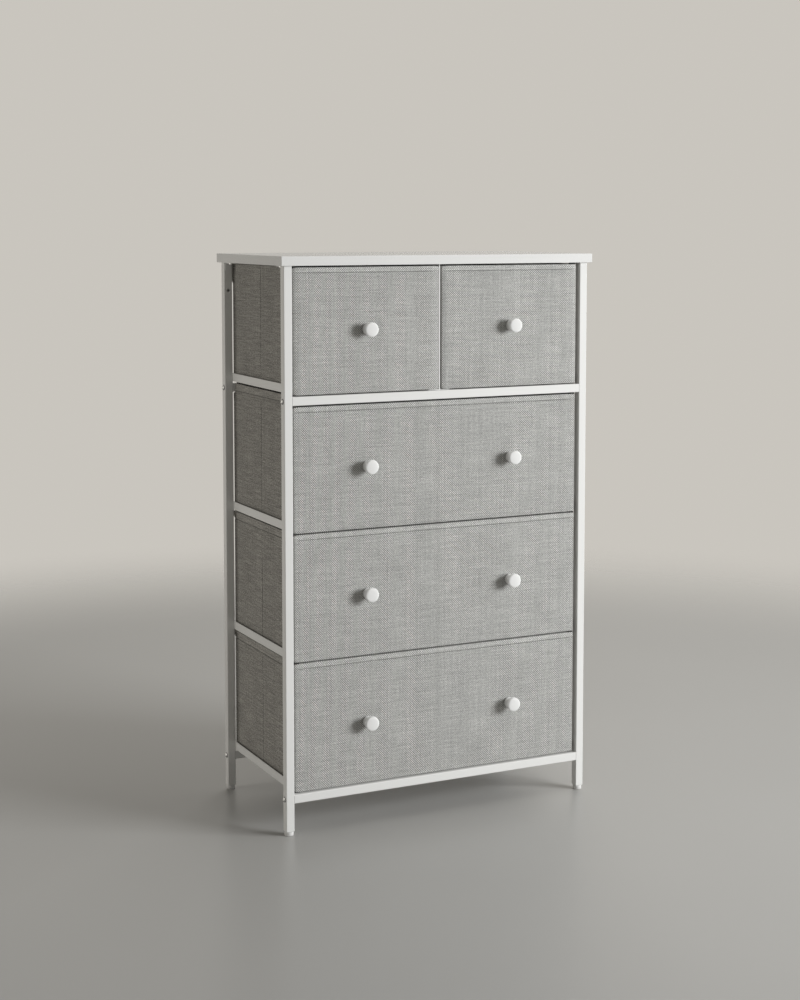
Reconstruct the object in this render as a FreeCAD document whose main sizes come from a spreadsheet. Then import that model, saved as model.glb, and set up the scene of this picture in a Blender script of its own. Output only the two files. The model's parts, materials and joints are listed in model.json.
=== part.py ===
"""Fabric drawer dresser: a welded and bolted steel tube frame with a board on top, two small
fabric drawers side by side and three full-width fabric drawers below them.

Units are millimetres. +Z is up, the drawers open towards -Y and the origin lies on the floor, in
the middle of the box that the whole dresser fills, knobs included.
"""

import os
import re

import FreeCAD
import Part
import Sketcher

Vector = FreeCAD.Vector
Rotation = FreeCAD.Rotation

# ---------------------------------------------------------------------------------------------
# Driving dimensions
# ---------------------------------------------------------------------------------------------

SIZES = {
    # top board
    "board_width": 600.0,
    "board_depth": 308.0,
    "board_thickness": 16.0,
    "board_overhang": 6.5,           # board beyond the posts, on all four sides
    "board_edge_radius": 1.0,
    # square steel tube of the posts and cross rails
    "tube_size": 15.0,
    "tube_wall": 1.2,
    "tube_corner": 1.5,
    # feet
    "foot_height": 8.0,
    "foot_diameter": 15.0,
    "foot_edge_radius": 3.0,
    "plug_length": 14.0,             # feet and threaded plugs, inside the tube
    "plug_clearance": 0.1,
    # rows of drawers, from the bottom up
    "lower_rail_height": 55.5,       # floor to the underside of the lower rails
    "bottom_row_height": 222.0,
    "middle_row_height": 218.0,
    "upper_row_height": 214.0,
    "small_row_height": 214.0,
    "front_gap": 2.0,                # between fronts, above rails and under the board
    "rail_gap": 2.5,                 # under the upper rails
    "front_recess": 6.3,             # drawer face behind the face of the posts
    "front_side_gap": 4.4,           # between the fronts and the posts
    "centre_gap": 9.0,               # between the two small fronts
    # drawers
    "front_board_thickness": 10.0,
    "front_edge_radius": 2.0,
    "fabric_thickness": 1.0,
    "board_play": 0.1,               # front board inside its pocket
    "pocket_slot": 11.0,             # open strip at the top of the pocket, inside the drawer
    "box_inset": 1.0,                # sides of the box behind the edge of the front
    "box_wall": 2.5,                 # sewn walls and bottom, stiffener included
    "box_back_gap": 2.0,             # drawer back to the rear face of the posts
    "base_board_thickness": 3.0,
    "base_board_clearance": 1.0,
    # side runners, bent sheet
    "sheet_thickness": 1.2,
    "runner_height": 14.5,
    "runner_leg": 22.0,
    "runner_setback": 1.5,           # upright leg of a runner outside the posts' inner faces
    "runner_rise": 2.5,              # underside of a runner above the lower edge of its front
    "runner_notch_gap": 1.5,         # between the flat leg and the back of the front
    "slide_clearance": 0.3,          # drawer above its runners
    # centre runner and uprights of the small row
    "centre_runner_width": 40.0,
    "centre_tab_setback": 9.5,       # end of the centre runner behind the outer faces of the rails
    "upright_width": 2.5,
    "upright_depth": 12.0,
    "upright_recess": 5.0,           # edge of the upright behind the faces of the drawers
    # knobs
    "knob_height": 107.5,            # above the lower edge of the front
    "knob_length": 23.0,
    "knob_base_diameter": 18.0,
    "knob_base_thickness": 2.5,
    "knob_base_slope": 2.5,          # base to neck, along the axis
    "knob_neck_diameter": 13.0,
    "knob_cap_diameter": 25.0,
    "knob_cap_thickness": 10.0,
    "knob_back_slope": 3.5,          # neck to the cap's rim, along the axis
    "knob_front_slope": 2.0,         # cap's rim to its face, along the axis
    "knob_front_diameter": 20.0,     # flat of the cap before its rounding
    "knob_edge_radius": 2.5,
    # fasteners
    "bolt_diameter": 5.0,
    "bolt_length": 26.0,
    "bolt_head_diameter": 8.5,
    "bolt_head_height": 2.2,
    "head_edge_radius": 0.9,         # rounding of bolt and screw heads
    "screw_diameter": 4.0,
    "screw_head_diameter": 7.0,
    "screw_head_height": 2.0,
    "screw_depth": 12.0,             # into the board or the knob
    "hole_clearance": 0.2,           # on the radius of a plain hole
    "thread_clearance": 0.05,        # on the radius of a tapped hole
    "cut_overrun": 1.0,              # cutting cylinders beyond the faces that they open
    # cleats under the board
    "cleat_thickness": 1.5,
    "cleat_width": 9.0,
    "cleat_length": 25.0,
    "cleat_drop": 14.0,
    "cleat_hole_reach": 15.0,        # screw centre from the face the cleat is welded to
    # holes for a wall strap in the rear posts
    "anchor_hole_diameter": 5.0,
    "anchor_hole_drop": 50.0,        # below the board
}

doc = FreeCAD.newDocument("dresser")
sheet = doc.addObject("Spreadsheet::Sheet", "Sizes")
for row_number, (alias, value) in enumerate(SIZES.items(), start=1):
    sheet.set(f"A{row_number}", alias)
    sheet.set(f"B{row_number}", str(value))
    sheet.setAlias(f"B{row_number}", alias)
doc.recompute()


def bound(expression):
    """The expression with each size's name pointed at its cell."""
    def cell(word):
        return f"Sizes.{word[0]}" if word[0] in SIZES else word[0]

    return re.sub(r"[a-z]\w*", cell, expression)


def value_of(expression):
    """What an expression of sizes comes to."""
    return float(sheet.evalExpression(bound(expression)))


def total(*terms):
    """The expression for the sum of all terms."""
    return "(" + " + ".join(terms) + ")"


def less(first, *terms):
    """The expression for the first term minus all the others."""
    return "(" + " - ".join((first,) + terms) + ")"


def mirrored(side, expression):
    """The expression for side +1, its negative for side -1."""
    return expression if side > 0 else f"-{expression}"


# ---------------------------------------------------------------------------------------------
# Layout, worked out from the driving dimensions
# ---------------------------------------------------------------------------------------------

POST_FACE_X = "(board_width / 2 - board_overhang)"
POST_FACE_Y = "(board_depth / 2 - board_overhang)"
POST_CENTRE_X = less(POST_FACE_X, "tube_size / 2")
POST_CENTRE_Y = less(POST_FACE_Y, "tube_size / 2")
POST_INNER_X = less(POST_FACE_X, "tube_size")
POST_INNER_Y = less(POST_FACE_Y, "tube_size")

# the knobs reach further forward than the board, so the case stands behind the origin by half that
KNOB_REACH = less(total(POST_FACE_Y, "knob_length"), "front_recess")
CASE_Y = f"((max({KNOB_REACH}; board_depth / 2) - board_depth / 2) / 2)"

FRONT_HALF = less(POST_INNER_X, "front_side_gap")
FRONT_THICKNESS = "(front_board_thickness + 2 * (fabric_thickness + board_play))"
FACE_Y = less(total(CASE_Y, "front_recess"), POST_FACE_Y)
SMALL_FRONT_WIDTH = less(FRONT_HALF, "centre_gap / 2")
SMALL_CENTRE_X = f"(({FRONT_HALF} + centre_gap / 2) / 2)"
WIDE_FRONT_WIDTH = f"(2 * {FRONT_HALF})"
BOX_DEPTH = less(f"2 * {POST_FACE_Y}", "front_recess", FRONT_THICKNESS, "box_back_gap")
BOX_RISE = "(runner_rise + sheet_thickness + slide_clearance)"

LOWER_RAIL_TOP = "(lower_rail_height + tube_size)"
BOTTOM_ROW_Z = total(LOWER_RAIL_TOP, "front_gap")
MIDDLE_ROW_Z = total(BOTTOM_ROW_Z, "bottom_row_height", "front_gap")
UPPER_ROW_Z = total(MIDDLE_ROW_Z, "middle_row_height", "front_gap")
UPPER_RAIL_Z = total(UPPER_ROW_Z, "upper_row_height", "rail_gap")
UPPER_RAIL_TOP = total(UPPER_RAIL_Z, "tube_size")
SMALL_ROW_Z = total(UPPER_RAIL_TOP, "front_gap")
BOARD_Z = total(SMALL_ROW_Z, "small_row_height", "front_gap")
RAIL_UNDERSIDES = ("lower_rail_height", UPPER_RAIL_Z)

# name of the row, lower edge of its fronts, height of its fronts
WIDE_ROWS = (
    ("upper", UPPER_ROW_Z, "upper_row_height"),
    ("middle", MIDDLE_ROW_Z, "middle_row_height"),
    ("bottom", BOTTOM_ROW_Z, "bottom_row_height"),
)
ROWS = (("small", SMALL_ROW_Z, "small_row_height"),) + WIDE_ROWS
SIDES = (("left", -1), ("right", 1))
ENDS = (("front", -1), ("rear", 1))

UPRIGHT_CENTRE_Y = less(POST_FACE_Y, "front_recess", "upright_recess", "upright_depth / 2")
RIB_HALF_LENGTH = less(POST_FACE_Y, "front_recess", FRONT_THICKNESS, "runner_notch_gap")
TUBE_BORE = "(tube_size - 2 * tube_wall)"
PLUG_SIZE = "(tube_size - 2 * (tube_wall + plug_clearance))"
SCREW_HOLE_RADIUS = "(screw_diameter / 2 + hole_clearance)"
SCREW_THREAD_RADIUS = "(screw_diameter / 2 + thread_clearance)"
BOLT_HOLE_RADIUS = "(bolt_diameter / 2 + hole_clearance)"
BOLT_THREAD_RADIUS = "(bolt_diameter / 2 + thread_clearance)"

parts = []


# ---------------------------------------------------------------------------------------------
# Helpers
# ---------------------------------------------------------------------------------------------

ALONG_X = Vector(1, 0, 0)
ALONG_Y = Vector(0, 1, 0)
ALONG_Z = Vector(0, 0, 1)
QUARTER_TURN = 90
HALF_TURN = 180
FULL_TURN = 360
TOLERANCE = 1e-6


def set_bound(thing, **expressions):
    """Bind properties of an object to expressions of sizes."""
    for name, expression in expressions.items():
        thing.setExpression(name, bound(expression))


def place(thing, x="0", y="0", z="0"):
    """Bind an object's position to expressions of sizes."""
    for axis, expression in (("x", x), ("y", y), ("z", z)):
        thing.setExpression(f".Placement.Base.{axis}", bound(expression))


def keep(thing, label):
    """Name a finished sub-part, which is then written to a file of that name."""
    thing.Label = label
    parts.append(thing)
    return thing


def new_body(label):
    """A PartDesign body that is a sub-part of its own."""
    return keep(doc.addObject("PartDesign::Body", "Body"), label)


def sketch_on(body, role, offset):
    """An empty sketch on one of the body's origin planes, moved along the plane's normal."""
    sketch = body.newObject("Sketcher::SketchObject", "Sketch")
    plane = [feature for feature in body.Origin.OriginFeatures if feature.Role == role][0]
    sketch.AttachmentSupport = [(plane, "")]
    sketch.MapMode = "FlatFace"
    sketch.setExpression(".AttachmentOffset.Base.z", bound(offset))
    return sketch


def outline(body, role, corners, offset="0"):
    """A sketch of one closed outline with straight sides; each corner is a pair of expressions."""
    sketch = sketch_on(body, role, offset)
    points = [Vector(value_of(x), value_of(y), 0) for x, y in corners]
    count = len(points)
    for index in range(count):
        sketch.addGeometry(Part.LineSegment(points[index], points[(index + 1) % count]))
    for index in range(count):
        sketch.addConstraint(Sketcher.Constraint("Coincident", index, 2, (index + 1) % count, 1))
    for index, corner in enumerate(corners):
        for kind, expression in zip(("DistanceX", "DistanceY"), corner):
            distance = Sketcher.Constraint(kind, -1, 1, index, 1, value_of(expression))
            number = sketch.addConstraint(distance)
            sketch.setExpression(f"Constraints[{number}]", bound(expression))
    return sketch


def rectangle(body, role, left, right, low, high, offset="0"):
    """A sketch of a rectangle between two expressions each way."""
    corners = ((left, low), (right, low), (right, high), (left, high))
    return outline(body, role, corners, offset)


def centred_rectangle(body, role, width, height, offset="0"):
    """A sketch of a rectangle round the plane's origin."""
    across, up = f"{width} / 2", f"{height} / 2"
    return rectangle(body, role, f"-{across}", across, f"-{up}", up, offset)


def circles(body, role, centres, radius, offset="0"):
    """A sketch of equal circles; each centre is a pair of expressions."""
    sketch = sketch_on(body, role, offset)
    for index, (x, y) in enumerate(centres):
        centre = Vector(value_of(x), value_of(y), 0)
        sketch.addGeometry(Part.Circle(centre, ALONG_Z, value_of(radius)))
        number = sketch.addConstraint(Sketcher.Constraint("Radius", index, value_of(radius)))
        sketch.setExpression(f"Constraints[{number}]", bound(radius))
        for kind, expression in (("DistanceX", x), ("DistanceY", y)):
            distance = Sketcher.Constraint(kind, -1, 1, index, 3, value_of(expression))
            number = sketch.addConstraint(distance)
            sketch.setExpression(f"Constraints[{number}]", bound(expression))
    return sketch


def pad(body, sketch, length, backward=False, centred=False):
    """Add the sketch's area over a length; backward runs against the sketch's normal."""
    feature = body.newObject("PartDesign::Pad", "Pad")
    feature.Profile = sketch
    feature.Reversed = backward
    if centred:
        feature.SideType = "Symmetric"
    set_bound(feature, Length=length)
    doc.recompute()
    return feature


def pocket(body, sketch, length, forward=False, centred=False):
    """Cut the sketch's area over a length, against the sketch's normal or forward along it."""
    before = body.Shape.Volume
    feature = body.newObject("PartDesign::Pocket", "Pocket")
    feature.Profile = sketch
    feature.Reversed = forward
    if centred:
        feature.SideType = "Symmetric"
    set_bound(feature, Length=length)
    doc.recompute()
    if not body.Shape.Volume < before:
        raise ValueError(f"{body.Label}: {feature.Name} cut nothing")
    return feature


def fillet(body, radius, chosen):
    """Round the edges of the body that the test chooses."""
    base = body.Tip
    edges = enumerate(base.Shape.Edges, start=1)
    names = [f"Edge{number}" for number, edge in edges if chosen(edge)]
    feature = body.newObject("PartDesign::Fillet", "Fillet")
    feature.Base = (base, names)
    set_bound(feature, Radius=radius)
    doc.recompute()
    return feature


def runs_along(edge, axis):
    """Whether an edge is straight and parallel to an axis."""
    if not isinstance(edge.Curve, Part.Line):
        return False
    return abs(edge.Curve.Direction.dot(axis)) > 1 - TOLERANCE


def lies_at(edge, axis, position):
    """Whether all of an edge lies at one position along an axis."""
    return all(abs(vertex.Point.dot(axis) - position) < TOLERANCE for vertex in edge.Vertexes)


def is_circle(edge, radius):
    """Whether an edge is a circle of this radius."""
    return isinstance(edge.Curve, Part.Circle) and abs(edge.Curve.Radius - radius) < TOLERANCE


def turn(thing, rotation):
    """Turn an object about its own origin."""
    thing.Placement = FreeCAD.Placement(thing.Placement.Base, rotation)


def group(label, members):
    """Separate equal solids that share one file."""
    compound = doc.addObject("Part::Compound", "Group")
    compound.Links = members
    return keep(compound, label)


def screw(shank_diameter, shank_length, head_diameter, head_height):
    """A screw whose shank points along +Z from the seat of its head, which lies at z = 0."""
    shank = doc.addObject("Part::Cylinder", "Shank")
    set_bound(shank, Radius=f"{shank_diameter} / 2", Height=f"{shank_length} + {head_height} / 2")
    place(shank, z=f"-{head_height} / 2")
    head = doc.addObject("Part::Cylinder", "Head")
    set_bound(head, Radius=f"{head_diameter} / 2", Height=head_height)
    place(head, z=f"-{head_height}")
    whole = doc.addObject("Part::MultiFuse", "Screw")
    whole.Shapes = [shank, head]
    doc.recompute()
    rounded = doc.addObject("Part::Fillet", "RoundedScrew")
    rounded.Base = whole
    radius = value_of("head_edge_radius")
    top = -value_of(head_height)
    rims = [
        number for number, edge in enumerate(whole.Shape.Edges, start=1)
        if isinstance(edge.Curve, Part.Circle) and lies_at(edge, ALONG_Z, top)
    ]
    rounded.Edges = [(number, radius, radius) for number in rims]
    return rounded


# ---------------------------------------------------------------------------------------------
# Frame
# ---------------------------------------------------------------------------------------------

def cleat_places():
    """Each cleat: x, y of the face it is welded to, and the way it points along Y."""
    places = []
    for _, end in ENDS:
        inward = -end
        for _, side in SIDES:
            places.append((mirrored(side, POST_CENTRE_X), mirrored(end, POST_INNER_Y), inward))
        upright_face = less(UPRIGHT_CENTRE_Y, "upright_depth / 2")
        places.append(("0", mirrored(end, upright_face), inward))
    return places


def make_top_board():
    """Board with blind pilot holes for the cleat screws in its underside."""
    body = new_body("top_board")
    pad(body, centred_rectangle(body, "XY_Plane", "board_width", "board_depth"), "board_thickness")
    fillet(body, "board_edge_radius", lambda edge: True)
    centres = [
        (x, total(face, mirrored(way, "cleat_hole_reach")))
        for x, face, way in cleat_places()
    ]
    holes = circles(body, "XY_Plane", centres, SCREW_THREAD_RADIUS)
    pocket(body, holes, "screw_depth - cleat_thickness + hole_clearance", forward=True)
    place(body, y=CASE_Y, z=BOARD_Z)


def make_post(end_name, end, side_name, side):
    """Square tube with a cross hole for each rail bolt; a rear post has a hole for a wall strap."""
    body = new_body(f"post_{end_name}_{side_name}")
    length = less(BOARD_Z, "foot_height")
    pad(body, centred_rectangle(body, "XY_Plane", "tube_size", "tube_size"), length)
    fillet(body, "tube_corner", lambda edge: runs_along(edge, ALONG_Z))
    pocket(body, centred_rectangle(body, "XY_Plane", TUBE_BORE, TUBE_BORE), length, forward=True)
    rail_centres = [
        ("0", total(less(underside, "foot_height"), "tube_size / 2"))
        for underside in RAIL_UNDERSIDES
    ]
    pocket(body, circles(body, "YZ_Plane", rail_centres, BOLT_HOLE_RADIUS), "tube_size", centred=True)
    if end > 0:
        anchor_place = ("0", less(length, "anchor_hole_drop"))
        anchor = circles(body, "XZ_Plane", [anchor_place], "anchor_hole_diameter / 2")
        pocket(body, anchor, "tube_size", centred=True)
    place(body, mirrored(side, POST_CENTRE_X), total(CASE_Y, mirrored(end, POST_CENTRE_Y)), "foot_height")


def make_foot(end_name, end, side_name, side):
    """Push-in glide: a round foot under a square plug."""
    body = new_body(f"foot_{end_name}_{side_name}")
    pad(body, circles(body, "XY_Plane", [("0", "0")], "foot_diameter / 2"), "foot_height")
    fillet(body, "foot_edge_radius", lambda edge: lies_at(edge, ALONG_Z, 0.0))
    pad(body, centred_rectangle(body, "XY_Plane", PLUG_SIZE, PLUG_SIZE, "foot_height"), "plug_length")
    place(body, mirrored(side, POST_CENTRE_X), total(CASE_Y, mirrored(end, POST_CENTRE_Y)))


def make_cross_rail(end_name, end, level_name, underside):
    """Square tube between two posts, flush with their outer faces."""
    body = new_body(f"rail_{end_name}_{level_name}")
    length = f"(2 * {POST_INNER_X})"
    pad(body, centred_rectangle(body, "YZ_Plane", "tube_size", "tube_size"), length, centred=True)
    fillet(body, "tube_corner", lambda edge: runs_along(edge, ALONG_X))
    pocket(body, centred_rectangle(body, "YZ_Plane", TUBE_BORE, TUBE_BORE), length, centred=True)
    place(body, "0", total(CASE_Y, mirrored(end, POST_CENTRE_Y)), total(underside, "tube_size / 2"))


def make_runner(row_name, row_z, side_name, side):
    """Angle between a front and a rear post, its flat leg cut back behind the drawer front."""
    body = new_body(f"runner_{row_name}_{side_name}")
    across = ("0", mirrored(-side, "sheet_thickness"), mirrored(-side, "runner_leg"))
    corners = (
        (across[0], "0"),
        (across[2], "0"),
        (across[2], "sheet_thickness"),
        (across[1], "sheet_thickness"),
        (across[1], "runner_height"),
        (across[0], "runner_height"),
    )
    half_length = POST_INNER_Y
    pad(body, outline(body, "XZ_Plane", corners), f"2 * {half_length}", centred=True)
    inner, outer = sorted((across[1], across[2]), key=value_of)
    notch = rectangle(body, "XY_Plane", inner, outer, f"-{half_length}", f"-{RIB_HALF_LENGTH}")
    pocket(body, notch, "sheet_thickness", forward=True)
    place(body, mirrored(side, total(POST_INNER_X, "runner_setback")), CASE_Y, total(row_z, "runner_rise"))


def make_centre_runner():
    """Channel that carries the inner edges of the small drawers, its ends on the upper rails."""
    body = new_body("centre_runner")
    half_length = less(POST_FACE_Y, "centre_tab_setback")
    strip = centred_rectangle(body, "XY_Plane", "centre_runner_width", f"(2 * {half_length})")
    pad(body, strip, "sheet_thickness")
    outer = "(centre_runner_width / 2)"
    for _, side in SIDES:
        faces = (mirrored(side, outer), mirrored(side, less(outer, "sheet_thickness")))
        left, right = sorted(faces, key=value_of)
        rib = rectangle(body, "XY_Plane", left, right, f"-{RIB_HALF_LENGTH}", RIB_HALF_LENGTH)
        pad(body, rib, "front_gap + runner_rise + sheet_thickness")
    place(body, y=CASE_Y, z=UPPER_RAIL_TOP)


def make_centre_upright(end_name, end):
    """Flat bar on edge between the small drawers, welded to the centre runner, up to the board."""
    body = new_body(f"centre_upright_{end_name}")
    length = less(BOARD_Z, UPPER_RAIL_TOP, "sheet_thickness")
    pad(body, centred_rectangle(body, "XY_Plane", "upright_width", "upright_depth"), length)
    centre_y = total(CASE_Y, mirrored(end, UPRIGHT_CENTRE_Y))
    place(body, "0", centre_y, total(UPPER_RAIL_TOP, "sheet_thickness"))


def make_cleats():
    """Angles welded to posts and uprights; the board rests on them and is screwed from below."""
    members = []
    for x, face, way in cleat_places():
        plate = doc.addObject("Part::Box", "CleatPlate")
        set_bound(plate, Length="cleat_width", Width="cleat_length", Height="cleat_thickness")
        place(plate, "-cleat_width / 2", "0", "-cleat_thickness")
        leg = doc.addObject("Part::Box", "CleatLeg")
        set_bound(leg, Length="cleat_width", Width="cleat_thickness", Height="cleat_drop")
        place(leg, "-cleat_width / 2", "0", "-cleat_drop")
        angle = doc.addObject("Part::MultiFuse", "CleatAngle")
        angle.Shapes = [plate, leg]
        hole = doc.addObject("Part::Cylinder", "CleatHole")
        set_bound(hole, Radius=SCREW_HOLE_RADIUS, Height="cleat_thickness + 2 * cut_overrun")
        place(hole, "0", "cleat_hole_reach", "-cleat_thickness - cut_overrun")
        cleat = doc.addObject("Part::Cut", "Cleat")
        cleat.Base = angle
        cleat.Tool = hole
        turn(cleat, Rotation(ALONG_Z, 0 if way > 0 else HALF_TURN))
        place(cleat, x, total(CASE_Y, face), BOARD_Z)
        members.append(cleat)
    group("board_cleats", members)


def make_board_screws():
    """Screws up through the cleats into the board."""
    members = []
    for x, face, way in cleat_places():
        member = screw("screw_diameter", "screw_depth", "screw_head_diameter", "screw_head_height")
        y = total(CASE_Y, face, mirrored(way, "cleat_hole_reach"))
        place(member, x, y, less(BOARD_Z, "cleat_thickness"))
        members.append(member)
    group("board_screws", members)


def rail_end_places():
    """Each end of each cross rail: side, and the place of its centre."""
    for _, end in ENDS:
        for underside in RAIL_UNDERSIDES:
            for _, side in SIDES:
                yield side, total(CASE_Y, mirrored(end, POST_CENTRE_Y)), total(underside, "tube_size / 2")


def make_rail_plugs():
    """Threaded plugs, one in each end of a cross rail."""
    members = []
    for side, y, z in rail_end_places():
        block = doc.addObject("Part::Box", "PlugBlock")
        set_bound(block, Length="plug_length", Width=PLUG_SIZE, Height=PLUG_SIZE)
        place(block, "0", f"-{PLUG_SIZE} / 2", f"-{PLUG_SIZE} / 2")
        bore = doc.addObject("Part::Cylinder", "PlugBore")
        set_bound(bore, Radius=BOLT_THREAD_RADIUS, Height="plug_length + 2 * cut_overrun")
        turn(bore, Rotation(ALONG_Y, QUARTER_TURN))
        place(bore, "-cut_overrun")
        plug = doc.addObject("Part::Cut", "Plug")
        plug.Base = block
        plug.Tool = bore
        turn(plug, Rotation(ALONG_Z, 0 if side < 0 else HALF_TURN))
        place(plug, mirrored(side, POST_INNER_X), y, z)
        members.append(plug)
    group("rail_plugs", members)


def make_rail_bolts():
    """Button-head bolts through the posts into the plugs of the cross rails."""
    members = []
    for side, y, z in rail_end_places():
        member = screw("bolt_diameter", "bolt_length", "bolt_head_diameter", "bolt_head_height")
        turn(member, Rotation(ALONG_Y, -side * QUARTER_TURN))
        place(member, mirrored(side, POST_FACE_X), y, z)
        members.append(member)
    group("rail_bolts", members)


# ---------------------------------------------------------------------------------------------
# Drawers: each sub-part is drawn with the middle of the front's lower edge at its origin
# ---------------------------------------------------------------------------------------------

def make_front_cover(width, height, knob_places):
    """Fabric sleeve round the front board, its slot towards the inside of the drawer."""
    body = doc.addObject("PartDesign::Body", "FrontCover")
    front = rectangle(body, "XZ_Plane", f"-{width} / 2", f"{width} / 2", "0", height)
    pad(body, front, FRONT_THICKNESS, backward=True)
    fillet(body, "front_edge_radius", lambda edge: lies_at(edge, ALONG_Y, 0.0))
    back = f"-{FRONT_THICKNESS}"
    half = f"({width} / 2 - fabric_thickness)"
    top = less(height, "fabric_thickness")
    cavity = rectangle(body, "XZ_Plane", f"-{half}", half, "fabric_thickness", top, back)
    pocket(body, cavity, less(FRONT_THICKNESS, "fabric_thickness"), forward=True)
    lining = rectangle(body, "XZ_Plane", f"-{half}", half, "fabric_thickness", top, back)
    pad(body, lining, "fabric_thickness")
    slot_half = f"({width} / 2 - box_inset - box_wall)"
    slot = rectangle(body, "XZ_Plane", f"-{slot_half}", slot_half, less(top, "pocket_slot"), top, back)
    pocket(body, slot, "fabric_thickness", forward=True)
    pocket(body, circles(body, "XZ_Plane", knob_places, SCREW_HOLE_RADIUS), FRONT_THICKNESS)
    return body


def make_panel(left, right, near, far, low, high):
    """A flat sewn panel between two expressions each way."""
    panel = doc.addObject("Part::Box", "Panel")
    set_bound(panel, Length=less(right, left), Width=less(far, near), Height=less(high, low))
    place(panel, left, near, low)
    return panel


def make_fabric_box(label, width, height, knob_places, x, z):
    """Box sewn from a front cover, a bottom, two sides and a back, open at the top."""
    half = f"({width} / 2 - box_inset)"
    inner_half = less(half, "box_wall")
    near = FRONT_THICKNESS
    far = total(FRONT_THICKNESS, BOX_DEPTH)
    floor = total(BOX_RISE, "box_wall")
    box = group(label, [
        make_front_cover(width, height, knob_places),
        make_panel(f"(-{half})", half, near, far, BOX_RISE, floor),
        make_panel(f"(-{half})", f"(-{inner_half})", near, far, floor, height),
        make_panel(inner_half, half, near, far, floor, height),
        make_panel(f"(-{inner_half})", inner_half, less(far, "box_wall"), far, floor, height),
    ])
    place(box, x, FACE_Y, z)


def make_front_board(label, width, height, knob_places, x, z):
    """Stiff board that fills the pocket of the front."""
    body = new_body(label)
    half = f"({width} / 2 - fabric_thickness - board_play)"
    low = "(fabric_thickness + board_play)"
    plate = rectangle(body, "XZ_Plane", f"-{half}", half, low, less(height, low), f"-{low}")
    pad(body, plate, "front_board_thickness", backward=True)
    holes = circles(body, "XZ_Plane", knob_places, SCREW_HOLE_RADIUS)
    pocket(body, holes, FRONT_THICKNESS)
    place(body, x, FACE_Y, z)


def make_base_board(label, width, x, z):
    """Loose board that lies on the fabric bottom."""
    body = new_body(label)
    half = f"({width} / 2 - box_inset - box_wall - base_board_clearance)"
    near = total(FRONT_THICKNESS, "base_board_clearance")
    far = less(total(FRONT_THICKNESS, BOX_DEPTH), "box_wall", "base_board_clearance")
    pad(body, rectangle(body, "XY_Plane", f"-{half}", half, near, far), "base_board_thickness")
    place(body, x, FACE_Y, total(z, BOX_RISE, "box_wall"))


def make_knob(label, x, z):
    """Turned knob on the face of a front: flat base, narrow neck and a rounded cap."""
    body = new_body(label)
    base = "knob_base_diameter / 2"
    neck = "knob_neck_diameter / 2"
    cap = "knob_cap_diameter / 2"
    cap_back = "-knob_length + knob_cap_thickness"
    profile = outline(body, "XY_Plane", (
        ("0", "0"),
        (base, "0"),
        (base, "-knob_base_thickness"),
        (neck, "-knob_base_thickness - knob_base_slope"),
        (neck, cap_back),
        (cap, f"{cap_back} - knob_back_slope"),
        (cap, "-knob_length + knob_front_slope"),
        ("knob_front_diameter / 2", "-knob_length"),
        ("0", "-knob_length"),
    ))
    turned = body.newObject("PartDesign::Revolution", "Revolution")
    turned.Profile = profile
    turned.ReferenceAxis = (profile, ["V_Axis"])
    turned.Angle = FULL_TURN
    doc.recompute()
    cap_radius = value_of(cap)
    fillet(body, "knob_edge_radius", lambda edge: is_circle(edge, cap_radius))
    hole = circles(body, "XZ_Plane", [("0", "0")], SCREW_THREAD_RADIUS)
    pocket(body, hole, "screw_depth + hole_clearance", forward=True)
    place(body, x, FACE_Y, z)


def make_knob_screws(label, places):
    """Screws from inside the drawer through the front into the knobs."""
    members = []
    length = total(FRONT_THICKNESS, "screw_depth")
    for x, z in places:
        member = screw("screw_diameter", length, "screw_head_diameter", "screw_head_height")
        turn(member, Rotation(ALONG_X, QUARTER_TURN))
        place(member, x, total(FACE_Y, FRONT_THICKNESS), z)
        members.append(member)
    group(label, members)


def make_drawer(name, width, height, x, z, knobs):
    """One drawer; knobs gives each knob's name and its place across the front."""
    knob_places = [(across, "knob_height") for _, across in knobs]
    make_fabric_box(f"{name}_fabric_box", width, height, knob_places, x, z)
    make_front_board(f"{name}_front_board", width, height, knob_places, x, z)
    make_base_board(f"{name}_base_board", width, x, z)
    for knob_name, across in knobs:
        make_knob(f"{name}_{knob_name}", total(x, across), total(z, "knob_height"))
    make_knob_screws(
        f"{name}_knob_screws",
        [(total(x, across), total(z, "knob_height")) for _, across in knobs],
    )


# ---------------------------------------------------------------------------------------------
# The dresser
# ---------------------------------------------------------------------------------------------

def make_frame():
    make_top_board()
    for end_name, end in ENDS:
        for side_name, side in SIDES:
            make_post(end_name, end, side_name, side)
            make_foot(end_name, end, side_name, side)
        make_cross_rail(end_name, end, "upper", UPPER_RAIL_Z)
        make_cross_rail(end_name, end, "lower", "lower_rail_height")
        make_centre_upright(end_name, end)
    for row_name, row_z, _ in ROWS:
        for side_name, side in SIDES:
            make_runner(row_name, row_z, side_name, side)
    make_centre_runner()
    make_cleats()
    make_board_screws()
    make_rail_plugs()
    make_rail_bolts()


def make_drawers():
    one_knob = [("knob", "0")]
    for side_name, side in SIDES:
        name, centre = f"small_{side_name}", mirrored(side, SMALL_CENTRE_X)
        make_drawer(name, SMALL_FRONT_WIDTH, "small_row_height", centre, SMALL_ROW_Z, one_knob)
    two_knobs = [(f"knob_{side_name}", mirrored(side, SMALL_CENTRE_X)) for side_name, side in SIDES]
    for row_name, row_z, height in WIDE_ROWS:
        make_drawer(row_name, WIDE_FRONT_WIDTH, height, "0", row_z, two_knobs)


def check_model():
    """Stop if any object failed or any sub-part is empty or broken."""
    for thing in doc.Objects:
        if "Invalid" in thing.State or "Error" in thing.State:
            raise ValueError(f"{thing.Name} ({thing.Label}) failed: {thing.State}")
    for part in parts:
        if part.Shape.isNull() or not part.Shape.isValid() or not part.Shape.Solids:
            raise ValueError(f"{part.Label} has no valid solid")


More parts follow.
